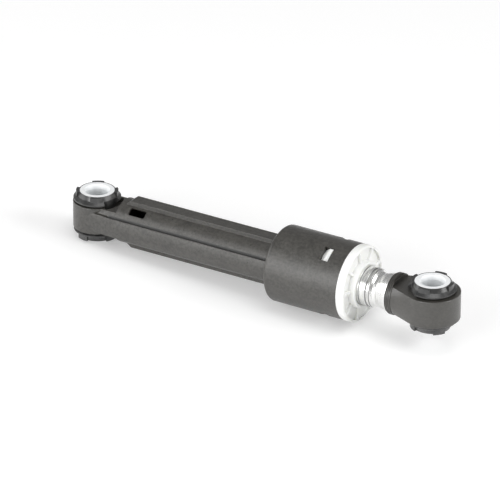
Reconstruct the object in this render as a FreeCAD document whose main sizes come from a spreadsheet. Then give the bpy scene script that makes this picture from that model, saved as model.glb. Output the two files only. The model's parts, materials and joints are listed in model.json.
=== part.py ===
import FreeCAD, Part
import math
import os

import Sketcher
from FreeCAD import Placement, Rotation, Vector

# Friction damper of a washing machine.
# The origin is the centre of the housing's eye, +X runs along the damper to the
# rod's eye and +Z runs along both eye bores. Lengths are in mm, angles in degrees.

SIZES = (
    # the whole damper
    ("closed_length", 164.0, "between the eye centres with the plunger pushed home"),
    ("drawn_out", 13.0, "how far the plunger stands out of its closed stop"),
    ("stop_gap", 1.9, "left between collar and cap with the plunger pushed home"),
    ("seat_gap", 0.03, "clearance of pieces that are pressed or moulded together"),
    ("running_gap", 0.06, "radial clearance of pieces that slide or turn"),
    # both eyes
    ("eye_height", 13.0, "height of both eye rings and necks"),
    ("pin_radius", 5.1, "bore for the mounting pin"),
    ("pin_mouth_flare", 0.9, "how far that bore widens at its rims"),
    ("pin_mouth_depth", 2.0, "depth of the funnel mouth"),
    ("sleeve_wall", 2.9, "wall of the plastic sleeve"),
    ("sleeve_length", 22.3, "sleeve and bush, end to end"),
    ("bush_wall", 1.0, "rubber between sleeve and eye"),
    ("bush_rim", 0.45, "rubber round the sleeve at its end"),
    ("bush_foot", 1.2, "rubber round the sleeve at the foot of the lugs"),
    ("bush_flange", 2.0, "how far the rubber flange reaches out over the eye's bore"),
    ("bush_flange_rim", 0.6, "height of the flange's upright rim"),
    ("bush_seat", 0.5, "width of the flange's foot on the eye"),
    ("bush_undercut", 0.9, "height of the open notch under the flange's rim"),
    ("flange_gap", 24.0, "half of the gap in the flanges, between two lugs"),
    ("lug_count", 4, "lugs at each end of a bush"),
    ("lug_height", 1.95, "height of the lugs"),
    ("lug_reach", 1.75, "how far the lugs stand out from the sleeve"),
    ("lug_half_angle", 17.0, "half of a lug's width, round the sleeve"),
    ("housing_lug_turn", 30.0, "first lug of the housing's bush, from +X"),
    ("rod_lug_turn", 275.0, "first lug of the rod's bush, from +X"),
    # housing
    ("housing_eye_wall", 2.25, "wall of the housing's eye"),
    ("eye_to_barrel", 2.25, "between the eye and the barrel's end wall"),
    ("hollow_angle", 38.0, "half of the hollow in the neck beside the eye's bore"),
    ("hollow_reach", 3.2, "how far that hollow goes out from the eye's bore"),
    ("hollow_depth", 2.0, "its depth"),
    ("barrel_edge", 2.0, "sloped edge of that wall"),
    ("barrel_end_wall", 3.5, "wall at the bottom of the bore"),
    ("barrel_wall", 1.1, "wall of the barrel between its ribs"),
    ("bore_gap", 0.3, "between the tube and the barrel's bore"),
    ("side_rib_lift", 2.0, "height of the raised round sides over the barrel"),
    ("side_rib_width", 9.2, "width of the raised sides"),
    ("gutter_depth", 2.2, "depth of the gutter between the barrel and a raised side"),
    ("gutter_lip", 0.4, "edge left on the raised side beside its gutter"),
    ("flat_rib_lift", 1.45, "height of the flat ribs over the barrel"),
    ("flat_rib_width", 6.8, "width of the flat ribs above and below"),
    ("flat_rib_setback", 4.8, "from the barrel's end wall to the flat ribs"),
    ("flat_rib_ramp", 2.2, "length of the ramp at their start"),
    ("rib_foot_round", 0.25, "hollow round along the foot of the flat ribs"),
    ("rib_edge_round", 0.35, "round along the edges of the flat ribs"),
    ("eye_edge_round", 0.35, "round of the outer edges of both eyes"),
    ("slot_setback", 4.6, "from the bore's bottom to the vent slot"),
    ("slot_length", 8.5, "length of the vent slot"),
    ("slot_width", 3.9, "width of the vent slot"),
    ("slot_corner", 0.8, "round in the slot's corners"),
    ("slot_turn", 37.0, "middle of the slot, from the top towards the front"),
    ("cuff_length", 38.1, "length of the wide cuff"),
    ("cuff_wall", 2.5, "wall of the cuff"),
    ("cuff_end_wall", 2.5, "wall between barrel and cuff"),
    ("cuff_edge_round", 1.5, "round of the cuff's back edge"),
    ("cuff_rim_round", 0.4, "round of the cuff's open edge"),
    ("window_length", 4.6, "length of the latch windows"),
    ("window_width", 7.4, "width of the latch windows"),
    ("window_margin", 7.8, "from the windows to the cuff's open end"),
    ("window_turn", 30.0, "middle of the windows, from top and bottom"),
    # end cap
    ("cap_flange", 3.7, "thickness of the cap's flange"),
    ("cap_edge", 0.5, "bevel of the flange's edge"),
    ("boss_height", 2.1, "height of the boss round the tube"),
    ("boss_slope", 0.3, "how much wider the boss is at its foot"),
    ("boss_rim", 1.04, "end face of the boss"),
    ("boss_mouth", 0.7, "bevel of the bore where the tube comes out"),
    ("face_rim", 1.2, "rim of the cap's face outside its pockets"),
    ("pocket_depth", 1.1, "depth of the pockets in the face"),
    ("pocket_count", 9, "pockets round the face"),
    ("pocket_rib", 1.3, "rib between two pockets"),
    ("pocket_turn", 7.0, "first rib, from the top towards the front"),
    ("guide_wall", 1.9, "wall of the cap's barrel round the tube"),
    ("skirt_gap", 0.1, "between skirt and cuff"),
    ("skirt_wall", 1.5, "wall of the skirt inside the cuff"),
    ("skirt_lead", 1.2, "how far the skirt reaches past the windows"),
    ("latch_gap", 0.3, "play of a latch in its window"),
    ("latch_reach", 1.7, "how far a latch stands into its window"),
    ("latch_ramp", 2.2, "length of its ramp"),
    ("latch_slit", 0.8, "slit beside a latch"),
    ("slit_margin", 1.6, "skirt left between slit and flange"),
    # friction lining
    ("lining_wall", 5.94, "thickness of the foam round the tube"),
    ("lining_gap", 0.2, "play at the ends of the lining"),
    ("lining_side_gap", 0.3, "between lining and cuff"),
    ("lining_split", 1.0, "slit along the lining"),
    # plunger
    ("tube_radius", 9.0, "outside of the steel tube"),
    ("tube_wall", 1.0, "its wall"),
    ("tube_end_gap", 3.0, "from tube to bore bottom with the plunger pushed home"),
    ("tube_lip", 1.5, "lip at the inner end"),
    ("guide_seat_length", 5.0, "rolled neck that holds the tube guide"),
    ("guide_seat_depth", 0.8, "its depth"),
    ("guide_play", 0.1, "end play of the guide in its neck"),
    ("guide_split", 1.2, "slit of the guide"),
    ("roll_slope", 0.4, "length of the rolled slopes"),
    ("lock_foot", 6.4, "from the tube's end to the middle of the locking groove"),
    ("lock_width", 2.9, "width of the locking groove"),
    ("lock_slope", 0.7, "length of its rolled walls"),
    ("lock_depth", 1.15, "depth of the locking groove"),
    ("mark_foot", 9.6, "from the tube's end to the middle of the shallow groove"),
    ("mark_width", 1.4, "width of the shallow groove"),
    ("mark_depth", 0.3, "depth of the shallow groove"),
    ("flare_depth", 1.0, "how far the flare starts below the tube's outside"),
    ("flare_lift", 0.3, "how far the flared end stands over the tube's outside"),
    # rod end
    ("rod_eye_wall", 3.8, "wall of the rod's eye"),
    ("neck_length", 3.5, "between the rod's eye and the collar"),
    ("neck_step", 0.2, "how far the collar stands over the foot of the neck"),
    ("collar_gap", 0.7, "from the tube's end to the collar"),
    ("collar_width", 2.4, "width of the collar"),
    ("collar_lift", 0.75, "how far the collar stands over the tube's outside"),
    ("collar_groove", 0.25, "width and depth of the grooves round the collar"),
    ("shoulder_drop", 1.5, "how far the collar's last land is cut down flat, above and below"),
    ("stem_length", 18.3, "stem inside the tube"),
    ("stem_wall", 2.1, "wall of the hollow stem in the locking groove"),
    ("stem_bottom", 1.5, "from the hollow's bottom to the collar"),
)


class Size:
    """A number together with the formula that gives it from the sheet."""

    def __init__(self, number, formula=None):
        self.number = float(number)
        self.formula = formula if formula else repr(float(number))

    def joined(self, other, sign, number):
        return Size(number, "(%s %s %s)" % (self.formula, sign, other.formula))

    def __add__(self, other):
        other = as_size(other)
        return self.joined(other, "+", self.number + other.number)

    def __sub__(self, other):
        other = as_size(other)
        return self.joined(other, "-", self.number - other.number)

    def __mul__(self, other):
        other = as_size(other)
        return self.joined(other, "*", self.number * other.number)

    def __truediv__(self, other):
        other = as_size(other)
        return self.joined(other, "/", self.number / other.number)

    def __radd__(self, other):
        return as_size(other) + self

    def __rsub__(self, other):
        return as_size(other) - self

    def __rmul__(self, other):
        return as_size(other) * self

    def __rtruediv__(self, other):
        return as_size(other) / self

    def __neg__(self):
        return Size(-self.number, "(0 - %s)" % self.formula)


def as_size(value):
    return value if isinstance(value, Size) else Size(value)


def root(value):
    return Size(math.sqrt(value.number), "sqrt(%s)" % value.formula)


class Sheet:
    """The driving sizes, each a cell with an alias and an attribute of the same name."""

    def __init__(self, doc):
        self.cells = doc.addObject("Spreadsheet::Sheet", "Sizes")
        for row, (name, number, meaning) in enumerate(SIZES, start=1):
            self.cells.set("A%d" % row, name)
            self.cells.set("B%d" % row, str(number))
            self.cells.setAlias("B%d" % row, name)
            self.cells.set("C%d" % row, meaning)
            setattr(self, name, Size(number, "Sizes." + name))


def follow(z):
    """Sizes and places that follow from the sheet. Places are counted along the damper."""
    z.half_eye = z.eye_height / 2
    z.half_sleeve = z.sleeve_length / 2
    z.sleeve_radius = z.pin_radius + z.sleeve_wall
    z.eye_bore_radius = z.sleeve_radius + z.bush_wall
    z.housing_eye_radius = z.eye_bore_radius + z.housing_eye_wall
    z.rod_eye_radius = z.eye_bore_radius + z.rod_eye_wall
    z.hollow_radius = z.eye_bore_radius + z.hollow_reach

    z.guide_bore_radius = z.tube_radius + z.running_gap
    z.guide_barrel_radius = z.guide_bore_radius + z.guide_wall
    z.bore_radius = z.tube_radius + z.bore_gap
    z.barrel_radius = z.bore_radius + z.barrel_wall
    z.side_rib_radius = z.barrel_radius + z.side_rib_lift
    z.flat_rib_reach = z.barrel_radius + z.flat_rib_lift
    z.lining_inner_radius = z.tube_radius + z.running_gap
    z.lining_radius = z.lining_inner_radius + z.lining_wall
    z.cuff_inner_radius = z.lining_radius + z.lining_side_gap
    z.cuff_radius = z.cuff_inner_radius + z.cuff_wall
    z.skirt_radius = z.cuff_inner_radius - z.skirt_gap
    z.skirt_inner_radius = z.skirt_radius - z.skirt_wall
    z.boss_mouth_radius = z.guide_bore_radius + z.boss_mouth
    z.boss_top_radius = z.boss_mouth_radius + z.boss_rim
    z.boss_foot_radius = z.boss_top_radius + z.boss_slope
    z.pocket_outer_radius = z.cuff_radius - z.face_rim
    z.tube_inner_radius = z.tube_radius - z.tube_wall
    z.stem_radius = z.tube_inner_radius - z.seat_gap
    z.stem_bore_radius = z.stem_radius - z.lock_depth - z.stem_wall
    z.collar_radius = z.tube_radius + z.collar_lift
    z.neck_foot_radius = z.collar_radius - z.neck_step
    z.shoulder_height = z.collar_radius - z.shoulder_drop

    z.barrel_start = z.housing_eye_radius + z.eye_to_barrel
    z.neck_end = z.barrel_start + z.barrel_edge
    z.flat_rib_start = z.barrel_start + z.flat_rib_setback
    z.bore_start = z.barrel_start + z.barrel_end_wall
    z.slot_start = z.bore_start + z.slot_setback
    z.slot_end = z.slot_start + z.slot_length
    z.collar_to_eye = z.rod_eye_radius + z.neck_length + z.collar_width
    z.eye_spacing = z.closed_length + z.drawn_out
    z.boss_end = z.closed_length - z.collar_to_eye - z.stop_gap
    z.cap_face = z.boss_end - z.boss_height
    z.cuff_end = z.cap_face - z.cap_flange
    z.cuff_start = z.cuff_end - z.cuff_length
    z.cuff_floor = z.cuff_start + z.cuff_end_wall
    z.window_end = z.cuff_end - z.window_margin
    z.window_start = z.window_end - z.window_length
    z.skirt_start = z.window_start - z.skirt_lead
    z.lining_start = z.cuff_floor + z.lining_gap
    z.lining_end = z.skirt_start - z.lining_gap
    z.tube_start = z.bore_start + z.tube_end_gap + z.drawn_out
    z.tube_end = z.eye_spacing - z.collar_to_eye - z.collar_gap
    z.tube_length = z.tube_end - z.tube_start


def origin_plane(body, role):
    return next(item for item in body.Origin.OriginFeatures if item.Role == role)


def new_body(doc, label, place=None):
    """An empty body whose own origin stands at the given place along the damper."""
    body = doc.addObject("PartDesign::Body", label)
    body.Label = label
    body.Placement = Placement(Vector(0, 0, 0), Rotation())
    if place is not None:
        body.setExpression("Placement.Base.x", place.formula)
    return body


def new_sketch(body, name, plane, lift=None, turn=None, spin=None):
    """A sketch on one of the body's planes.

    It may be lifted off that plane, turned about its own X axis, or spun in the plane.
    """
    sketch = body.newObject("Sketcher::SketchObject", name)
    sketch.AttachmentSupport = (origin_plane(body, plane), "")
    sketch.MapMode = "FlatFace"
    axis = Vector(0, 0, 1) if spin else Vector(1, 0, 0)
    angle = spin or turn
    sketch.AttachmentOffset = Placement(Vector(0, 0, 0), Rotation(axis, 1 if angle else 0))
    if angle:
        sketch.setExpression("AttachmentOffset.Rotation.Angle", angle.formula)
    if lift and turn:
        sideways = "-%s * sin(%s * 1 deg)" % (lift.formula, turn.formula)
        upwards = "%s * cos(%s * 1 deg)" % (lift.formula, turn.formula)
        sketch.setExpression("AttachmentOffset.Base.y", sideways)
        sketch.setExpression("AttachmentOffset.Base.z", upwards)
    elif lift:
        sketch.setExpression("AttachmentOffset.Base.z", lift.formula)
    return sketch


def limit(sketch, kind, elements, size):
    """A dimension of the sketch that is bound to the sheet."""
    index = sketch.addConstraint(Sketcher.Constraint(kind, *elements, size.number))
    sketch.setExpression("Constraints[%d]" % index, size.formula)


def place_point(sketch, element, end, across, up):
    limit(sketch, "DistanceX", (-1, 1, element, end), across)
    limit(sketch, "DistanceY", (-1, 1, element, end), up)


def draw_polygon(sketch, points):
    """A closed outline of straight lines through points that are bound to the sheet."""
    points = [(as_size(across), as_size(up)) for across, up in points]
    corners = [Vector(across.number, up.number, 0) for across, up in points]
    count = len(corners)
    lines = [
        sketch.addGeometry(Part.LineSegment(corners[i], corners[(i + 1) % count]))
        for i in range(count)
    ]
    for i in range(count):
        sketch.addConstraint(
            Sketcher.Constraint("Coincident", lines[i], 2, lines[(i + 1) % count], 1)
        )
    for line, (across, up) in zip(lines, points):
        place_point(sketch, line, 1, across, up)


def draw_circle(sketch, radius):
    circle = sketch.addGeometry(Part.Circle(Vector(0, 0, 0), Vector(0, 0, 1), radius.number))
    sketch.addConstraint(Sketcher.Constraint("Coincident", circle, 3, -1, 1))
    limit(sketch, "Radius", (circle,), radius)


def draw_arc(sketch, radius, start, end):
    """An arc about the sketch's origin, between two angles in degrees."""
    circle = Part.Circle(Vector(0, 0, 0), Vector(0, 0, 1), radius.number)
    arc = sketch.addGeometry(Part.ArcOfCircle(circle, math.radians(start), math.radians(end)))
    sketch.addConstraint(Sketcher.Constraint("Coincident", arc, 3, -1, 1))
    limit(sketch, "Radius", (arc,), radius)
    return arc


def join(sketch, first, first_end, second, second_end):
    sketch.addConstraint(
        Sketcher.Constraint("Coincident", first, first_end, second, second_end)
    )


def draw_flat_sided_disc(sketch, radius, half_height):
    """A disc about the axis, cut off flat above and below."""
    half = math.degrees(math.asin(half_height.number / radius.number))
    right = draw_arc(sketch, radius, -half, half)
    left = draw_arc(sketch, radius, 180 - half, 180 + half)
    reach = math.sqrt(radius.number ** 2 - half_height.number ** 2)
    high = half_height.number
    top = sketch.addGeometry(Part.LineSegment(Vector(reach, high, 0), Vector(-reach, high, 0)))
    base = sketch.addGeometry(Part.LineSegment(Vector(-reach, -high, 0), Vector(reach, -high, 0)))
    join(sketch, right, 2, top, 1)
    join(sketch, top, 2, left, 1)
    join(sketch, left, 2, base, 1)
    join(sketch, base, 2, right, 1)
    for line, up in ((top, half_height), (base, -half_height)):
        sketch.addConstraint(Sketcher.Constraint("Horizontal", line))
        limit(sketch, "DistanceY", (-1, 1, line, 1), up)


def draw_ring_sector(sketch, inner, outer, half_angle):
    """A piece of a ring about the origin, even on both sides of the sketch's X axis."""
    half = half_angle.number
    outer_arc = draw_arc(sketch, outer, -half, half)
    inner_arc = draw_arc(sketch, inner, -half, half)
    for side, angle in ((1, -half_angle), (2, half_angle)):
        turn = math.radians(angle.number)
        along = Vector(math.cos(turn), math.sin(turn), 0)
        line = sketch.addGeometry(Part.LineSegment(along * inner.number, along * outer.number))
        join(sketch, line, 1, inner_arc, side)
        join(sketch, line, 2, outer_arc, side)
        index = sketch.addConstraint(Sketcher.Constraint("Angle", line, turn))
        sketch.setExpression("Constraints[%d]" % index, angle.formula)


def pad(body, name, sketch, length, both_ways=False, reverse=False):
    feature = body.newObject("PartDesign::Pad", name)
    feature.Profile = sketch
    feature.setExpression("Length", length.formula)
    feature.SideType = "Symmetric" if both_ways else "One side"
    feature.Reversed = reverse
    return feature


def pocket(body, name, sketch, length, both_ways=False, reverse=False):
    feature = body.newObject("PartDesign::Pocket", name)
    feature.Profile = sketch
    feature.setExpression("Length", length.formula)
    feature.SideType = "Symmetric" if both_ways else "One side"
    feature.Reversed = reverse
    return feature


def turned(body, name, sketch, kind="Revolution", axis="H_Axis"):
    """A full turn of the sketch about one of its own axes, added or cut away."""
    feature = body.newObject("PartDesign::" + kind, name)
    feature.Profile = sketch
    feature.ReferenceAxis = (sketch, [axis])
    feature.Angle = 360
    return feature


def round_pattern(body, name, original, axis_role, count):
    """Copies of a feature, evenly spaced about one of the body's axes."""
    feature = body.newObject("PartDesign::PolarPattern", name)
    feature.Originals = [original]
    feature.Axis = (origin_plane(body, axis_role), [""])
    feature.Angle = 360
    feature.setExpression("Occurrences", as_size(count).formula)
    body.Tip = feature


def round_edges(body, name, base, radius, wanted):
    """Rounds the edges of the base feature for which wanted(edge) holds."""
    body.Document.recompute()
    edges = base.Shape.Edges
    names = ["Edge%d" % (i + 1) for i, edge in enumerate(edges) if wanted(edge)]
    feature = body.newObject("PartDesign::Fillet", name)
    feature.Base = (base, names)
    feature.setExpression("Radius", radius.formula)
    return feature


def lies_at(value, wanted):
    return abs(value - wanted) < 0.001


def is_ring_edge(edge, radius, height):
    """A round edge about +Z at this height, above or below."""
    curve = edge.Curve
    return (
        isinstance(curve, Part.Circle)
        and lies_at(curve.Radius, radius)
        and lies_at(abs(curve.Center.z), height)
    )


def is_round_edge(edge, radius, x):
    """A round edge about the damper's axis at this place along it."""
    curve = edge.Curve
    return (
        isinstance(curve, Part.Circle)
        and lies_at(curve.Radius, radius)
        and lies_at(abs(curve.Axis.x), 1)
        and lies_at(curve.Center.x, x)
    )


def is_long_edge(edge, y, height):
    """A straight edge along the damper at this distance from its middle plane and height."""
    box = edge.BoundBox
    return (
        not lies_at(box.XLength, 0)
        and lies_at(box.YLength, 0)
        and lies_at(box.ZLength, 0)
        and lies_at(abs(box.YMax), y)
        and lies_at(abs(box.ZMax), height)
    )


def is_slot_corner(edge, z):
    """A short straight edge through the barrel's wall at one end of the vent slot."""
    box = edge.BoundBox
    middle = (box.YMin + box.YMax) / 2
    depth = math.hypot(middle, (box.ZMin + box.ZMax) / 2)
    return (
        isinstance(edge.Curve, Part.Line)
        and lies_at(box.XLength, 0)
        and (lies_at(box.XMin, z.slot_start.number) or lies_at(box.XMin, z.slot_end.number))
        and z.bore_radius.number < depth < z.barrel_radius.number
        and middle < 0
    )


def make_housing(doc, z):
    """Eye, neck, ribbed barrel and wide cuff, moulded as one piece."""
    body = new_body(doc, "housing")

    outside = new_sketch(body, "outside", "XZ_Plane")
    draw_polygon(outside, (
        (z.barrel_start, 0),
        (z.barrel_start, z.half_eye),
        (z.neck_end, z.barrel_radius),
        (z.cuff_start, z.barrel_radius),
        (z.cuff_start, z.cuff_radius),
        (z.cuff_end, z.cuff_radius),
        (z.cuff_end, 0),
    ))
    turned(body, "barrel_and_cuff", outside)

    ring = new_sketch(body, "eye_outline", "XY_Plane")
    draw_circle(ring, z.housing_eye_radius)
    pad(body, "eye", ring, z.eye_height, both_ways=True)

    neck = new_sketch(body, "neck_section", "YZ_Plane")
    draw_flat_sided_disc(neck, z.barrel_radius, z.half_eye)
    pad(body, "neck", neck, z.neck_end)

    half_rib = z.side_rib_width / 2
    root_section = new_sketch(body, "side_rib_root", "YZ_Plane")
    draw_flat_sided_disc(root_section, z.housing_eye_radius, half_rib)
    full_section = new_sketch(body, "side_rib_section", "YZ_Plane", lift=z.neck_end)
    draw_flat_sided_disc(full_section, z.side_rib_radius, half_rib)
    roots = body.newObject("PartDesign::AdditiveLoft", "side_rib_roots")
    roots.Profile = root_section
    roots.Sections = [full_section]
    roots.Ruled = True
    run_section = new_sketch(body, "side_rib_run", "YZ_Plane", lift=z.neck_end)
    draw_flat_sided_disc(run_section, z.side_rib_radius, half_rib)
    pad(body, "side_ribs", run_section, z.cuff_floor - z.neck_end)

    flat_rib = new_sketch(body, "flat_rib_profile", "XZ_Plane")
    ramp_foot = z.barrel_radius - z.rib_foot_round
    ramp_end = z.flat_rib_start + z.flat_rib_ramp
    draw_polygon(flat_rib, (
        (z.flat_rib_start, ramp_foot),
        (ramp_end, z.flat_rib_reach),
        (z.cuff_floor, z.flat_rib_reach),
        (z.cuff_floor, -z.flat_rib_reach),
        (ramp_end, -z.flat_rib_reach),
        (z.flat_rib_start, -ramp_foot),
    ))
    ribs = pad(body, "flat_ribs", flat_rib, z.flat_rib_width, both_ways=True)

    doc.recompute()
    half_flat = z.flat_rib_width.number / 2
    foot_height = math.sqrt(z.barrel_radius.number ** 2 - half_flat ** 2)
    reach = z.flat_rib_reach.number
    last = round_edges(
        body, "flat_rib_edges", ribs, z.rib_edge_round,
        lambda edge: is_long_edge(edge, half_flat, reach),
    )
    last = round_edges(
        body, "flat_rib_feet", last, z.rib_foot_round,
        lambda edge: is_long_edge(edge, half_flat, foot_height),
    )
    last = round_edges(
        body, "cuff_back_edge", last, z.cuff_edge_round,
        lambda edge: is_round_edge(edge, z.cuff_radius.number, z.cuff_start.number),
    )
    last = round_edges(
        body, "cuff_rim", last, z.cuff_rim_round,
        lambda edge: is_round_edge(edge, z.cuff_radius.number, z.cuff_end.number),
    )
    round_edges(
        body, "eye_edges", last, z.eye_edge_round,
        lambda edge: is_ring_edge(edge, z.housing_eye_radius.number, z.half_eye.number),
    )

    inside = new_sketch(body, "inside", "XZ_Plane")
    draw_polygon(inside, (
        (z.bore_start, 0),
        (z.bore_start, z.bore_radius),
        (z.cuff_floor, z.bore_radius),
        (z.cuff_floor, z.cuff_inner_radius),
        (z.cuff_end, z.cuff_inner_radius),
        (z.cuff_end, 0),
    ))
    turned(body, "bore_and_cuff_hollow", inside, kind="Groove")

    eye_bore = new_sketch(body, "eye_bore_outline", "XY_Plane")
    draw_circle(eye_bore, z.eye_bore_radius)
    pocket(body, "eye_bore", eye_bore, z.eye_height, both_ways=True)
    hollow_start = (z.sleeve_radius + z.eye_bore_radius) / 2
    for name, level, upward in (("upper", z.half_eye, False), ("lower", -z.half_eye, True)):
        outline = new_sketch(body, name + "_hollow_outline", "XY_Plane", lift=level)
        draw_ring_sector(outline, hollow_start, z.hollow_radius, z.hollow_angle)
        pocket(body, name + "_hollow", outline, z.hollow_depth, reverse=upward)

    gutters = new_sketch(body, "gutter_section", "YZ_Plane", lift=z.cuff_start)
    ledge = half_rib
    gutter_floor = ledge - z.gutter_depth
    barrel_side = root(z.barrel_radius * z.barrel_radius - ledge * ledge)
    floor_side = root(z.barrel_radius * z.barrel_radius - gutter_floor * gutter_floor)
    lip_side = root(z.side_rib_radius * z.side_rib_radius - ledge * ledge) - z.gutter_lip
    for side in (1, -1):
        for level in (1, -1):
            draw_polygon(gutters, (
                (side * barrel_side, level * ledge),
                (side * floor_side, level * gutter_floor),
                (side * lip_side, level * ledge),
            ))
    pocket(body, "gutters", gutters, z.cuff_start - z.housing_eye_radius)

    slot = new_sketch(body, "slot_outline", "XY_Plane", turn=z.slot_turn)
    draw_polygon(slot, (
        (z.slot_start, -z.slot_width / 2),
        (z.slot_end, -z.slot_width / 2),
        (z.slot_end, z.slot_width / 2),
        (z.slot_start, z.slot_width / 2),
    ))
    vent = pocket(body, "vent_slot", slot, z.side_rib_radius, reverse=True)
    round_edges(
        body, "slot_corners", vent, z.slot_corner,
        lambda edge: is_slot_corner(edge, z),
    )

    for side, turn in (("front", z.window_turn), ("back", -z.window_turn)):
        outline = new_sketch(body, side + "_window_outline", "XY_Plane", turn=turn)
        draw_polygon(outline, (
            (z.window_start, -z.window_width / 2),
            (z.window_end, -z.window_width / 2),
            (z.window_end, z.window_width / 2),
            (z.window_start, z.window_width / 2),
        ))
        window = pocket(body, side + "_window", outline, z.cuff_radius, reverse=True)
        round_pattern(body, side + "_windows", window, "X_Axis", 2)
    return body


def make_end_cap(doc, z):
    """White cap with its boss, skirt, latches and the barrel that guides the tube."""
    body = new_body(doc, "end_cap", z.cuff_end)
    face = z.cap_face - z.cuff_end
    boss_end = z.boss_end - z.cuff_end
    skirt_start = z.skirt_start - z.cuff_end
    guide_start = skirt_start + z.lining_gap

    profile = new_sketch(body, "profile", "XZ_Plane")
    draw_polygon(profile, (
        (guide_start, z.guide_bore_radius),
        (guide_start, z.guide_barrel_radius),
        (0, z.guide_barrel_radius),
        (0, z.skirt_inner_radius),
        (skirt_start, z.skirt_inner_radius),
        (skirt_start, z.skirt_radius),
        (0, z.skirt_radius),
        (0, z.cuff_radius),
        (face - z.cap_edge, z.cuff_radius),
        (face, z.cuff_radius - z.cap_edge),
        (face, z.boss_foot_radius),
        (boss_end, z.boss_top_radius),
        (boss_end, z.boss_mouth_radius),
        (boss_end - z.boss_mouth, z.guide_bore_radius),
    ))
    turned(body, "cap", profile)

    pitch = 360 / z.pocket_count
    rib_angle = z.pocket_rib / (z.boss_foot_radius + z.pocket_outer_radius) * (180 / math.pi)
    first_pocket = 90 + z.pocket_turn + pitch / 2
    outline = new_sketch(body, "pocket_outline", "YZ_Plane", lift=face, spin=first_pocket)
    draw_ring_sector(outline, z.boss_foot_radius, z.pocket_outer_radius, pitch / 2 - rib_angle)
    face_pocket = pocket(body, "face_pocket", outline, z.pocket_depth)
    round_pattern(body, "face_pockets", face_pocket, "X_Axis", z.pocket_count)

    latch_end = z.window_end - z.latch_gap - z.cuff_end
    latch_start = z.window_start + z.latch_gap - z.cuff_end
    latch_height = z.skirt_radius + z.latch_reach
    latch_width = z.window_width - 2 * z.latch_gap
    slit_middle = latch_width / 2 + z.latch_slit / 2
    slit_floor = z.skirt_inner_radius - z.skirt_wall / 2
    latch_foot = z.skirt_inner_radius + z.skirt_wall / 2
    for side, turn in (("front", z.window_turn), ("back", -z.window_turn)):
        outline = new_sketch(body, side + "_latch_profile", "XZ_Plane", turn=turn)
        draw_polygon(outline, (
            (latch_start, latch_foot),
            (latch_start, z.skirt_radius),
            (latch_start + z.latch_ramp, latch_height),
            (latch_end, latch_height),
            (latch_end, latch_foot),
        ))
        latch = pad(body, side + "_latch", outline, latch_width, both_ways=True)
        round_pattern(body, side + "_latches", latch, "X_Axis", 2)
        for edge, across in (("near", slit_middle), ("far", -slit_middle)):
            slit_outline = new_sketch(
                body, side + edge + "_slit_outline", "XY_Plane", lift=slit_floor, turn=turn
            )
            draw_polygon(slit_outline, (
                (skirt_start, across - z.latch_slit / 2),
                (-z.slit_margin, across - z.latch_slit / 2),
                (-z.slit_margin, across + z.latch_slit / 2),
                (skirt_start, across + z.latch_slit / 2),
            ))
            slit = pocket(body, side + edge + "_slit", slit_outline, z.cuff_radius, reverse=True)
            round_pattern(body, side + edge + "_slits", slit, "X_Axis", 2)
    return body


def make_friction_lining(doc, z):
    """Foam ring round the tube, held in the cuff between its floor and the cap."""
    body = new_body(doc, "friction_lining", z.lining_start)
    length = z.lining_end - z.lining_start

    profile = new_sketch(body, "profile", "XZ_Plane")
    draw_polygon(profile, (
        (0, z.lining_inner_radius),
        (0, z.lining_radius),
        (length, z.lining_radius),
        (length, z.lining_inner_radius),
    ))
    turned(body, "ring", profile)

    split = new_sketch(body, "split_outline", "XY_Plane")
    half = z.lining_split / 2
    draw_polygon(split, ((0, -half), (length, -half), (length, half), (0, half)))
    pocket(body, "split", split, z.cuff_radius)
    return body


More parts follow.
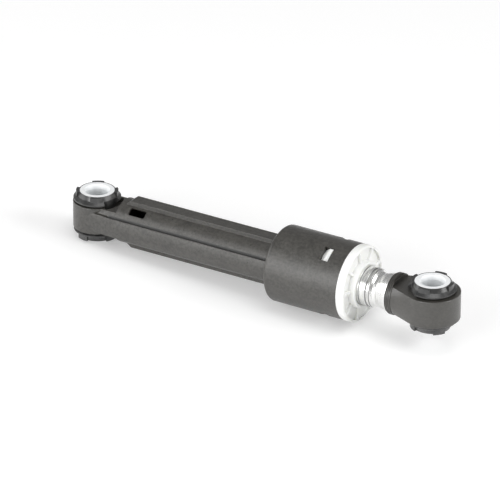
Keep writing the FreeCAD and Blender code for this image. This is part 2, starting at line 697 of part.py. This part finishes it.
def make_bush(doc, z, label, place, lug_turn):
    """Rubber bush with an undercut flange over each edge of the eye and lugs at each end.

    Both flanges are open between the last lug and the first.
    """
    body = new_body(doc, label, place)
    body.Placement = Placement(Vector(0, 0, 0), Rotation(Vector(0, 0, 1), 1))
    body.setExpression("Placement.Rotation.Angle", lug_turn.formula)

    bore = z.sleeve_radius + z.running_gap
    middle = z.eye_bore_radius - z.seat_gap
    seat = z.half_eye + z.seat_gap
    seat_radius = z.eye_bore_radius + z.bush_seat
    flange_radius = z.eye_bore_radius + z.bush_flange
    rim_foot = seat + z.bush_undercut
    rim_top = rim_foot + z.bush_flange_rim
    neck_radius = z.sleeve_radius + z.bush_foot
    rim_radius = z.sleeve_radius + z.bush_rim
    lug_foot = z.half_sleeve - z.lug_height
    profile = new_sketch(body, "profile", "XZ_Plane")
    draw_polygon(profile, (
        (bore, -z.half_sleeve),
        (rim_radius, -z.half_sleeve),
        (neck_radius, -lug_foot),
        (flange_radius, -rim_top),
        (flange_radius, -rim_foot),
        (seat_radius, -seat),
        (middle, -seat),
        (middle, seat),
        (seat_radius, seat),
        (flange_radius, rim_foot),
        (flange_radius, rim_top),
        (neck_radius, lug_foot),
        (rim_radius, z.half_sleeve),
        (bore, z.half_sleeve),
    ))
    turned(body, "wall", profile, axis="V_Axis")

    half_pitch = 180 / z.lug_count
    gap_radius = (neck_radius + seat_radius) / 2
    gap = new_sketch(body, "flange_gap_outline", "XY_Plane", spin=-half_pitch)
    draw_ring_sector(gap, gap_radius, flange_radius + z.bush_flange, z.flange_gap)
    pocket(body, "flange_gaps", gap, z.sleeve_length, both_ways=True)

    lug_inner = (bore + rim_radius) / 2
    lug_radius = z.sleeve_radius + z.lug_reach
    sink = z.lug_height / 2
    upper = new_sketch(body, "upper_lug_outline", "XY_Plane", lift=lug_foot - sink)
    draw_ring_sector(upper, lug_inner, lug_radius, z.lug_half_angle)
    upper_lug = pad(body, "upper_lug", upper, z.lug_height + sink)
    round_pattern(body, "upper_lugs", upper_lug, "Z_Axis", z.lug_count)

    lower = new_sketch(
        body, "lower_lug_outline", "XY_Plane", lift=sink - lug_foot, spin=half_pitch
    )
    draw_ring_sector(lower, lug_inner, lug_radius, z.lug_half_angle)
    lower_lug = pad(body, "lower_lug", lower, z.lug_height + sink, reverse=True)
    round_pattern(body, "lower_lugs", lower_lug, "Z_Axis", z.lug_count)
    return body


def make_sleeve(doc, z, label, place):
    """Plastic sleeve that takes the mounting pin, with a funnel mouth at each end."""
    body = new_body(doc, label, place)
    mouth_radius = z.pin_radius + z.pin_mouth_flare
    funnel = z.half_sleeve - z.pin_mouth_depth
    profile = new_sketch(body, "profile", "XZ_Plane")
    draw_polygon(profile, (
        (z.pin_radius, -funnel),
        (mouth_radius, -z.half_sleeve),
        (z.sleeve_radius, -z.half_sleeve),
        (z.sleeve_radius, z.half_sleeve),
        (mouth_radius, z.half_sleeve),
        (z.pin_radius, funnel),
    ))
    turned(body, "wall", profile, axis="V_Axis")
    return body


def locking_groove(z, surface, end):
    """The corners of the tube's locked end, from inside to outside of the damper.

    surface is the radius of the plain tube, outside or inside, and end is where the tube ends.
    """
    middle = end - z.lock_foot
    half = z.lock_width / 2
    half_floor = half - z.lock_slope
    floor = surface - z.lock_depth
    return (
        (middle - half, surface),
        (middle - half_floor, floor),
        (middle + half_floor, floor),
        (middle + half, surface - z.flare_depth),
        (end, surface + z.flare_lift),
    )


def make_plunger_tube(doc, z):
    """Steel tube with a rolled neck for the guide, a locking groove and a flared end."""
    body = new_body(doc, "plunger_tube", z.tube_start)
    end = z.tube_length
    neck_start = z.tube_lip
    neck_end = z.tube_lip + z.guide_seat_length
    mark = end - z.mark_foot
    half_mark = z.mark_width / 2

    def wall(surface, mark_depth):
        neck = surface - z.guide_seat_depth
        return (
            (0, surface),
            (neck_start - z.roll_slope, surface),
            (neck_start, neck),
            (neck_end, neck),
            (neck_end + z.roll_slope, surface),
            (mark - half_mark, surface),
            (mark - half_mark + z.roll_slope, surface - mark_depth),
            (mark + half_mark - z.roll_slope, surface - mark_depth),
            (mark + half_mark, surface),
        ) + locking_groove(z, surface, end)

    outside = wall(z.tube_radius, z.mark_depth)
    inside = wall(z.tube_inner_radius, 0)
    plain_inside = inside[:5] + inside[9:]
    profile = new_sketch(body, "profile", "XZ_Plane")
    draw_polygon(profile, outside + plain_inside[::-1])
    turned(body, "tube", profile)
    return body


def make_tube_guide(doc, z):
    """Split plastic ring in the tube's rolled neck, which runs in the barrel's bore."""
    body = new_body(doc, "tube_guide", z.tube_start + z.tube_lip + z.guide_play)
    inner = z.tube_radius - z.guide_seat_depth + z.running_gap
    outer = z.bore_radius - z.running_gap
    length = z.guide_seat_length - 2 * z.guide_play

    profile = new_sketch(body, "profile", "XZ_Plane")
    draw_polygon(profile, ((0, inner), (0, outer), (length, outer), (length, inner)))
    turned(body, "ring", profile)

    split = new_sketch(body, "split_outline", "XY_Plane")
    half = z.guide_split / 2
    draw_polygon(split, ((0, -half), (length, -half), (length, half), (0, half)))
    pocket(body, "split", split, z.bore_radius)
    return body


def make_rod_end(doc, z):
    """Eye, neck, collar and hollow stem of the plunger's end, moulded into the tube."""
    body = new_body(doc, "rod_end", z.eye_spacing)
    collar = -z.collar_to_eye
    collar_end = collar + z.collar_width
    tube_end = collar - z.collar_gap
    stem_start = tube_end - z.stem_length
    groove = z.collar_groove
    land = (z.collar_width - 2 * groove) / 3
    locked = locking_groove(z, z.stem_radius, tube_end)

    stem = new_sketch(body, "stem_profile", "XZ_Plane")
    draw_polygon(stem, (
        (stem_start, z.stem_bore_radius),
        (stem_start, z.stem_radius),
    ) + locked + (
        (collar, locked[-1][1]),
        (collar, z.collar_radius),
        (collar + land, z.collar_radius),
        (collar + land, z.collar_radius - groove),
        (collar + land + groove, z.collar_radius - groove),
        (collar + land + groove, z.collar_radius),
        (collar_end - land - groove, z.collar_radius),
        (collar_end - land - groove, z.collar_radius - groove),
        (collar_end - land, z.collar_radius - groove),
        (collar_end - land, z.collar_radius),
        (collar_end, z.collar_radius),
        (collar_end, 0),
        (collar - z.stem_bottom, 0),
        (collar - z.stem_bottom, z.stem_bore_radius),
    ))
    turned(body, "stem_and_collar", stem)

    shoulder = new_sketch(body, "shoulder_outline", "XZ_Plane")
    for height in (z.shoulder_height, -z.shoulder_height):
        limit_height = z.collar_radius if height.number > 0 else -z.collar_radius
        draw_polygon(shoulder, (
            (collar_end - land, height),
            (collar_end, height),
            (collar_end, limit_height),
            (collar_end - land, limit_height),
        ))
    pocket(body, "shoulder_flats", shoulder, 2 * z.collar_radius, both_ways=True)

    ring = new_sketch(body, "eye_outline", "XY_Plane")
    draw_circle(ring, z.rod_eye_radius)
    eye = pad(body, "eye", ring, z.eye_height, both_ways=True)
    eye = round_edges(
        body, "eye_edges", eye, z.eye_edge_round,
        lambda edge: is_ring_edge(edge, z.rod_eye_radius.number, z.half_eye.number),
    )

    touch_x, touch_y = tangent_point(z.rod_eye_radius, collar_end, z.neck_foot_radius)
    neck_foot = new_sketch(body, "neck_foot", "YZ_Plane", lift=collar_end)
    draw_flat_sided_disc(neck_foot, z.neck_foot_radius, z.half_eye)
    neck_top = new_sketch(body, "neck_top", "YZ_Plane", lift=touch_x)
    draw_polygon(neck_top, (
        (touch_y, -z.half_eye),
        (touch_y, z.half_eye),
        (-touch_y, z.half_eye),
        (-touch_y, -z.half_eye),
    ))
    neck = body.newObject("PartDesign::AdditiveLoft", "neck")
    neck.Profile = neck_foot
    neck.Sections = [neck_top]
    neck.Ruled = True

    eye_bore = new_sketch(body, "eye_bore_outline", "XY_Plane")
    draw_circle(eye_bore, z.eye_bore_radius)
    pocket(body, "eye_bore", eye_bore, z.eye_height, both_ways=True)
    return body


def tangent_point(radius, across, up):
    """Where a line from a point outside a circle about the origin touches that circle.

    The point lies above the X axis, and so does the touching point that is given.
    """
    far = across * across + up * up
    height = root(far - radius * radius)
    side = radius * height / far
    return (
        radius * radius * across / far + side * up,
        radius * radius * up / far - side * across,
    )


def is_sound(item):
    if "Invalid" in item.State or "Error" in item.State:
        return False
    return not hasattr(item, "Shape") or not item.Shape.isNull()


def main():
    doc = FreeCAD.newDocument("friction_damper")
    sheet = Sheet(doc)
    doc.recompute()
    follow(sheet)
    origin = Size(0)
    sub_parts = (
        make_housing(doc, sheet),
        make_end_cap(doc, sheet),
        make_friction_lining(doc, sheet),
        make_bush(doc, sheet, "housing_bush", origin, sheet.housing_lug_turn),
        make_sleeve(doc, sheet, "housing_sleeve", origin),
        make_plunger_tube(doc, sheet),
        make_tube_guide(doc, sheet),
        make_rod_end(doc, sheet),
        make_bush(doc, sheet, "rod_bush", sheet.eye_spacing, sheet.rod_lug_turn),
        make_sleeve(doc, sheet, "rod_sleeve", sheet.eye_spacing),
    )
    doc.recompute()

    for item in doc.Objects:
        if not is_sound(item):
            raise RuntimeError("%s did not recompute: %s" % (item.Name, item.State))
    for part in sub_parts:
        if not part.Shape.isValid() or len(part.Shape.Solids) != 1:
            raise RuntimeError("%s is not one valid solid" % part.Label)

    os.makedirs("parts", exist_ok=True)
    for part in sub_parts:
        part.Shape.exportStep("parts/%s.step" % part.Label)
        print("%-16s %9.1f mm3" % (part.Label, part.Shape.Volume))


main()
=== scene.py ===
import json
import math

import bpy
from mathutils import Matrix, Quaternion, Vector


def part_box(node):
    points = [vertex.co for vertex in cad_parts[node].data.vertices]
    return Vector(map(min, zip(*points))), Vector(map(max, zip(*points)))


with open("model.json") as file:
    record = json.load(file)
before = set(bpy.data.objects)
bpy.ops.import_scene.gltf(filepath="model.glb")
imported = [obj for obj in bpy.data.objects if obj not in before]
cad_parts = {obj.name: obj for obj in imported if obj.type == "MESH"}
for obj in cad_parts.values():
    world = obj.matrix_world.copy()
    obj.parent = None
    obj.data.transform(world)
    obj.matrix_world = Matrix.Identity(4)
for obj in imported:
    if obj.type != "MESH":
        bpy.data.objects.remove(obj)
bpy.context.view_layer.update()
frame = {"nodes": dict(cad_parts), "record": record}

MM = 0.001
PER_MM = 1000.0

# The photograph's camera: angles in degrees, distance and aim in metres, lens and
# sensor in millimetres.
CAMERA_AZIMUTH = 31.36
CAMERA_ELEVATION = 26.4
CAMERA_ROLL = 0.12
CAMERA_DISTANCE = 2.263
CAMERA_AIM = Vector((0.08227, 0.0, 0.00162))
CAMERA_LENS = 360.0
CAMERA_SENSOR = 36.0

# The paper under the damper: its grey level, its glow to the camera, its side in metres.
FLOOR_LEVEL = 0.82
FLOOR_GLOW = 0.262
FLOOR_SIZE = 6.0

# Light from all round, and softboxes: name, azimuth and elevation in degrees, distance
# and width in metres, power in watts.
SKY_LIGHT = 0.32
LAMPS = (
    ("front_softbox", -5.0, 16.0, 1.6, 0.95, 16.0),
    ("left_softbox", -60.0, 22.0, 1.6, 1.0, 8.2),
    ("right_softbox", 100.0, 22.0, 1.6, 0.9, 14.0),
    ("top_softbox", 60.0, 75.0, 1.5, 0.9, 5.6),
)

# Places along the damper from the housing's eye, in millimetres.
EYE_SPACING = 177.0
GUTTER_START = 12.5
CUFF_START = 99.5
CUFF_END = 139.0
ROLLED_START = 143.0
# Rings on the tube's rolled end: dented, and darkened with painted shade; the first is a
# painted shadow where the tube leaves the cap.
PAINTED_SHADE_RINGS = (144.1, 147.5, 149.4)
# Places off the damper's axis or the pin's, in millimetres.
GUTTER_SIDE = 11.1
GUTTER_TOP = 4.7
SLEEVE_BORE = 5.0
SLEEVE_FLARE = 1.0


class Value:
    """A shader socket in an expression: arithmetic on it adds Math nodes."""

    def __init__(self, shading, socket):
        self.shading = shading
        self.socket = socket

    def math(self, operation, *others):
        values = {0: self}
        values.update(enumerate(others, start=1))
        return self.shading.node("ShaderNodeMath", {"operation": operation}, values).out(0)

    def __add__(self, other):
        return self.math("ADD", other)

    def __mul__(self, other):
        return self.math("MULTIPLY", other)

    def __sub__(self, other):
        return self.math("SUBTRACT", other)

    def __rsub__(self, other):
        return (self * -1.0) + other

    __radd__ = __add__
    __rmul__ = __mul__

    def clamped(self):
        return self.math("MAXIMUM", 0.0).math("MINIMUM", 1.0)


class Made:
    """A node that was just added, whose outputs are read by name or number."""

    def __init__(self, shading, node):
        self.shading = shading
        self.node = node

    def out(self, key):
        return Value(self.shading, self.node.outputs[key])


class Shading:
    """A node tree under construction, of a material or of the world."""

    def __init__(self, owner):
        self.owner = owner
        owner.use_nodes = True
        self.tree = owner.node_tree
        self.tree.nodes.clear()

    def node(self, kind, settings=None, values=None):
        node = self.tree.nodes.new(kind)
        for key, setting in (settings or {}).items():
            setattr(node, key, setting)
        for key, value in (values or {}).items():
            if isinstance(value, Value):
                self.tree.links.new(value.socket, node.inputs[key])
            else:
                node.inputs[key].default_value = value
        return Made(self, node)

    def step(self, value, low, high):
        """Rises smoothly from 0 at low to 1 at high."""
        return self.node("ShaderNodeMapRange", {"interpolation_type": "SMOOTHSTEP"}, {
            "Value": value, "From Min": low, "From Max": high, "To Min": 0.0, "To Max": 1.0,
        }).out("Result")


class Finish(Shading):
    """The material of a finish: noise and relief in millimetres on the piece."""

    def __init__(self, name):
        super().__init__(bpy.data.materials.new(name))

    def place(self, stretch=(1.0, 1.0, 1.0)):
        """The place on the piece in millimetres, each axis times its stretch."""
        coordinates = self.node("ShaderNodeTexCoord").out("Object")
        scale = tuple(PER_MM * value for value in stretch)
        return self.node(
            "ShaderNodeVectorMath", {"operation": "MULTIPLY"}, {0: coordinates, 1: scale}
        ).out(0)

    def noise(self, size, stretch=(1.0, 1.0, 1.0), detail=2.0, roughness=0.5, shift=0.0):
        """Noise from 0 to 1 with blotches of about this size in millimetres."""
        return self.node("ShaderNodeTexNoise", {"noise_dimensions": "4D"}, {
            "Vector": self.place(stretch),
            "W": shift,
            "Scale": 1.0 / size,
            "Detail": detail,
            "Roughness": roughness,
        }).out(0)

    def blend(self, factor, first, second):
        """A colour between two others."""
        return self.node("ShaderNodeMix", {"data_type": "RGBA"}, {
            0: factor, 6: first, 7: second,
        }).out(2)

    def axis(self, name):
        """One coordinate of the place, in millimetres."""
        return self.node("ShaderNodeSeparateXYZ", None, {0: self.place()}).out(name)

    def off_axis(self, name):
        """Distance from the middle plane across this axis, in millimetres."""
        return self.axis(name).math("ABSOLUTE")

    def inside(self, value, edge, soft):
        """1 up to the edge, and softly 0 beyond it."""
        return 1.0 - self.step(value, edge, edge + soft)

    def band(self, value, low, high, soft):
        """1 between low and high, and 0 outside, with soft edges."""
        return self.step(value, low - soft, low) * self.inside(value, high, soft)

    def bump(self, height, depth, normal=None):
        """A normal that follows the height, whose full step is depth millimetres."""
        values = {"Height": height, "Distance": depth * MM, "Strength": 1.0}
        if normal is not None:
            values["Normal"] = normal
        return self.node("ShaderNodeBump", None, values).out("Normal")

    def surface(self, values):
        shader = self.node("ShaderNodeBsdfPrincipled", None, values).out("BSDF")
        self.node("ShaderNodeOutputMaterial", None, {"Surface": shader})
        return self.owner


def grey(level):
    """The opaque grey of this level."""
    return (level, level, level, 1.0)


def make_dark_plastic():
    """Glass-filled moulding plastic: satin, mottled, with flow streaks and a pebbled grain.

    The mottling is calmer on the rod's end, and the housing's gutters are duller and darkened
    with painted shade.
    """
    finish = Finish("dark_plastic_finish")
    clouds = finish.noise(9.0, detail=3.0)
    streaks = finish.noise(0.9, stretch=(0.12, 1.0, 1.0), detail=3.0, shift=3.0)
    blotches = finish.noise(1.1, detail=2.0, roughness=0.6, shift=5.0)
    grain = finish.noise(0.40, detail=3.0, roughness=0.65, shift=7.0)
    specks = finish.step(finish.noise(0.30, detail=1.0, shift=11.0), 0.60, 0.74)

    along = finish.axis("X")
    on_rod_end = finish.step(along, CUFF_END, ROLLED_START)
    mottle = (finish.step(blotches, 0.34, 0.66) - 0.5) * (1.0 - on_rod_end * 0.6) + 0.5
    on_cuff = finish.band(along, CUFF_START, CUFF_END, 0.5)
    beside_barrel = finish.band(along, GUTTER_START, CUFF_START, 0.8)
    gutter_shade_and_dullness = beside_barrel * (
        finish.inside(finish.off_axis("Y"), GUTTER_SIDE, 0.3)
        * finish.inside(finish.off_axis("Z"), GUTTER_TOP, 0.5)
    )
    tone = (clouds * 0.6 + streaks * 0.45 + mottle * 0.45 + specks * 0.30 - 0.31).clamped()
    colour = finish.blend(tone, (0.016, 0.0145, 0.0120, 1.0), (0.072, 0.0685, 0.0605, 1.0))
    # Painted shade: the gutters beside the barrel are coloured nearly black, and their
    # roughness is raised.
    colour = finish.blend(gutter_shade_and_dullness, colour, (0.008, 0.0078, 0.0072, 1.0))
    roughness = gutter_shade_and_dullness * 0.3 + 0.20 + mottle * 0.05 + grain * 0.20 + on_cuff * 0.03
    height = grain * (0.8 + on_cuff * 0.5) + mottle * 0.15 + streaks * 0.40 + specks * 0.20
    return finish.surface({
        "Base Color": colour,
        "Roughness": roughness,
        "Normal": finish.bump(height, 0.060),
        "Specular IOR Level": 0.95,
    })


def make_rubber():
    """Moulded black rubber with a dull bloom."""
    finish = Finish("bush_rubber_finish")
    bloom = finish.step(finish.noise(3.5, detail=4.0, shift=2.0), 0.42, 0.72)
    grain = finish.noise(0.25, detail=2.0, shift=5.0)
    colour = finish.blend(bloom, (0.023, 0.0232, 0.0232, 1.0), (0.064, 0.0635, 0.0625, 1.0))
    return finish.surface({
        "Base Color": colour,
        "Roughness": 0.28 + bloom * 0.16,
        "Normal": finish.bump(grain + bloom * 0.5, 0.02),
        "Specular IOR Level": 0.85,
    })


def make_sleeve_plastic():
    """Smooth white bearing plastic with faint turning marks, and painted shade greying its
    bore.
    """
    finish = Finish("sleeve_plastic_finish")
    clouds = finish.noise(6.0, detail=2.0, shift=4.0)
    rings = finish.noise(0.5, stretch=(0.2, 0.2, 3.0), detail=2.0, shift=6.0)
    colour = finish.blend(clouds, (0.87, 0.885, 0.895, 1.0), (0.91, 0.92, 0.925, 1.0))
    half_way = EYE_SPACING / 2
    across = (finish.axis("X") - half_way).math("ABSOLUTE") - half_way
    from_pin = (across * across + finish.axis("Y") * finish.axis("Y")).math("SQRT")
    bore_painted_shade = finish.inside(from_pin, SLEEVE_BORE, SLEEVE_FLARE)
    # Painted shade: the bore is coloured greyer than the rest of the sleeve.
    colour = finish.blend(bore_painted_shade, colour, (0.71, 0.73, 0.74, 1.0))
    return finish.surface({
        "Base Color": colour,
        "Roughness": 0.30 + rings * 0.12,
        "Normal": finish.bump(rings, 0.008),
    })


def make_white_plastic():
    """Matt white moulding plastic, faintly clouded, that lets a little light in."""
    finish = Finish("white_plastic_finish")
    clouds = finish.noise(8.0, detail=3.0, shift=8.0)
    grain = finish.noise(0.4, detail=2.0, shift=9.0)
    colour = finish.blend(clouds, (0.85, 0.855, 0.835, 1.0), (0.90, 0.905, 0.885, 1.0))
    return finish.surface({
        "Base Color": colour,
        "Subsurface Weight": 0.4,
        "Subsurface Scale": 2.0 * MM,
        "Subsurface Radius": (1.0, 1.0, 0.9),
        "Roughness": 0.42 + grain * 0.14,
        "Normal": finish.bump(grain, 0.012),
    })


def make_plated_steel():
    """Bright plated steel: drawn lines along the tube, rolled waves and dented rings at its
    end, which painted shade darkens.
    """
    finish = Finish("plated_steel_finish")
    along = finish.axis("X")
    rolled_end = finish.step(along, ROLLED_START - 2.0, ROLLED_START)
    lines = finish.noise(0.12, stretch=(0.03, 1.0, 1.0), detail=3.0, shift=12.0)
    clouds = finish.noise(5.0, detail=4.0, shift=13.0)
    rolled = finish.noise(0.5, stretch=(1.0, 0.15, 0.15), detail=2.0, shift=14.0)
    waves = finish.noise(2.0, stretch=(1.0, 0.16, 0.16), detail=1.0, shift=18.0)
    rings = sum(finish.band(along, place - 0.1, place + 0.1, 0.35) for place in PAINTED_SHADE_RINGS)
    colour = finish.blend(clouds, (0.86, 0.86, 0.85, 1.0), (0.95, 0.95, 0.94, 1.0))
    # Painted shade: the rings are coloured dark, the first as the shadow at the cap's mouth.
    colour = finish.blend(rings * 0.8, colour, (0.12, 0.12, 0.115, 1.0))
    relief = finish.bump(waves * (rolled_end * 0.85 + 0.15) - rings * 0.4, 0.26)
    return finish.surface({
        "Base Color": colour,
        "Metallic": 1.0,
        "Roughness": 0.17 + clouds * 0.08 + lines * 0.05 + rings * 0.2,
        "Normal": finish.bump(lines * 0.5 + rolled, 0.010, relief),
    })


def make_lining_foam():
    """Open foam soaked with brownish grease."""
    finish = Finish("lining_foam_finish")
    cells = finish.node("ShaderNodeTexVoronoi", {"feature": "DISTANCE_TO_EDGE"}, {
        "Vector": finish.place(), "Scale": 1.6,
    }).out("Distance")
    open_cell = finish.step(cells, 0.05, 0.30)
    stain = finish.noise(6.0, detail=3.0, shift=15.0)
    colour = finish.blend(stain, (0.30, 0.26, 0.17, 1.0), (0.17, 0.15, 0.10, 1.0))
    return finish.surface({
        "Base Color": colour,
        "Roughness": 0.75 - open_cell * 0.2,
        "Normal": finish.bump(1.0 - open_cell, 0.25),
    })


def make_guide_plastic():
    """Plain natural bearing plastic."""
    finish = Finish("guide_plastic_finish")
    clouds = finish.noise(4.0, detail=2.0, shift=16.0)
    grain = finish.noise(0.3, detail=2.0, shift=17.0)
    colour = finish.blend(clouds, (0.56, 0.54, 0.46, 1.0), (0.64, 0.62, 0.54, 1.0))
    return finish.surface({
        "Base Color": colour,
        "Roughness": 0.40 + grain * 0.1,
        "Normal": finish.bump(grain, 0.012),
    })


FINISHES = {
    "dark_plastic": make_dark_plastic(),
    "white_plastic": make_white_plastic(),
    "lining_foam": make_lining_foam(),
    "bush_rubber": make_rubber(),
    "sleeve_plastic": make_sleeve_plastic(),
    "plated_steel": make_plated_steel(),
    "guide_plastic": make_guide_plastic(),
}


def dress_frame_nodes():
    """Gives each construction node the finish of its material slot."""
    for part in frame["record"]["subparts"]:
        piece = frame["nodes"][part["node"]]
        piece.material_slots[0].material = FINISHES[part["material_slot"]]


def make_floor_finish():
    """White paper that keeps the shadow, and is white to the camera and in reflections."""
    finish = Finish("floor_finish")
    rays = finish.node("ShaderNodeLightPath")
    seen = (
        rays.out("Is Camera Ray") + rays.out("Is Glossy Ray") + rays.out("Is Transmission Ray")
    ).clamped()
    glow = finish.node("ShaderNodeEmission", None, {
        "Color": grey(1.0), "Strength": seen * FLOOR_GLOW,
    }).out("Emission")
    paper = finish.node("ShaderNodeBsdfDiffuse", None, {"Color": grey(FLOOR_LEVEL)}).out("BSDF")
    both = finish.node("ShaderNodeAddShader", None, {0: paper, 1: glow}).out(0)
    finish.node("ShaderNodeOutputMaterial", None, {"Surface": both})
    return finish.owner


def steepest_fall(start):
    """Angle at which a plane through the start just touches the pieces beyond it from below."""
    return max(
        math.atan2(start.z - corner.co.z, corner.co.x - start.x)
        for piece in frame["nodes"].values()
        for corner in piece.data.vertices
        if corner.co.x > start.x
    )


def make_floor():
    """The surface that the damper lies on, with the housing's bush and the cuff's back edge."""
    low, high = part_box("housing_bush")
    foot = Vector((low.x, (low.y + high.y) / 2, low.z))
    bpy.ops.mesh.primitive_plane_add(size=FLOOR_SIZE)
    floor = bpy.context.object
    floor.name = "floor"
    floor.location = foot
    floor.rotation_euler = (0.0, steepest_fall(foot), 0.0)
    floor.data.materials.append(make_floor_finish())


def direction(azimuth, elevation):
    """From the damper towards a viewer or lamp there."""
    turn = math.radians(azimuth)
    rise = math.radians(elevation)
    return Vector((
        math.sin(turn) * math.cos(rise), -math.cos(turn) * math.cos(rise), math.sin(rise)
    ))


def add_lamp(name, azimuth, elevation, distance, size, power):
    """A square softbox that faces the middle of the damper."""
    lamp = bpy.data.lights.new(name, "AREA")
    lamp.shape = "SQUARE"
    lamp.size = size
    lamp.energy = power
    holder = bpy.data.objects.new(name, lamp)
    back = direction(azimuth, elevation)
    holder.location = CAMERA_AIM + back * distance
    holder.rotation_mode = "QUATERNION"
    holder.rotation_quaternion = (-back).to_track_quat("-Z", "Y")
    bpy.context.scene.collection.objects.link(holder)


def make_world():
    """Soft light from all round, and white behind the object."""
    world = bpy.data.worlds.new("studio")
    sky = Shading(world)
    light = sky.node("ShaderNodeBackground", None, {"Color": grey(SKY_LIGHT)}).out(0)
    paper = sky.node("ShaderNodeBackground", None, {"Color": grey(1.0)}).out(0)
    seen = sky.node("ShaderNodeLightPath").out("Is Camera Ray")
    choice = sky.node("ShaderNodeMixShader", None, {0: seen, 1: light, 2: paper}).out(0)
    sky.node("ShaderNodeOutputWorld", None, {0: choice})
    bpy.context.scene.world = world


def make_camera():
    data = bpy.data.cameras.new("camera")
    data.lens = CAMERA_LENS
    data.sensor_width = CAMERA_SENSOR
    data.clip_start = 0.1
    data.clip_end = 20.0
    camera = bpy.data.objects.new("camera", data)
    back = direction(CAMERA_AZIMUTH, CAMERA_ELEVATION)
    camera.location = CAMERA_AIM + back * CAMERA_DISTANCE
    camera.rotation_mode = "QUATERNION"
    roll = Quaternion((0.0, 0.0, 1.0), math.radians(CAMERA_ROLL))
    camera.rotation_quaternion = (-back).to_track_quat("-Z", "Y") @ roll
    bpy.context.scene.collection.objects.link(camera)
    bpy.context.scene.camera = camera


def make_studio():
    make_world()
    for lamp in LAMPS:
        add_lamp(*lamp)
    bpy.context.scene.view_settings.view_transform = "Standard"


make_camera()
dress_frame_nodes()
make_floor()
make_studio()
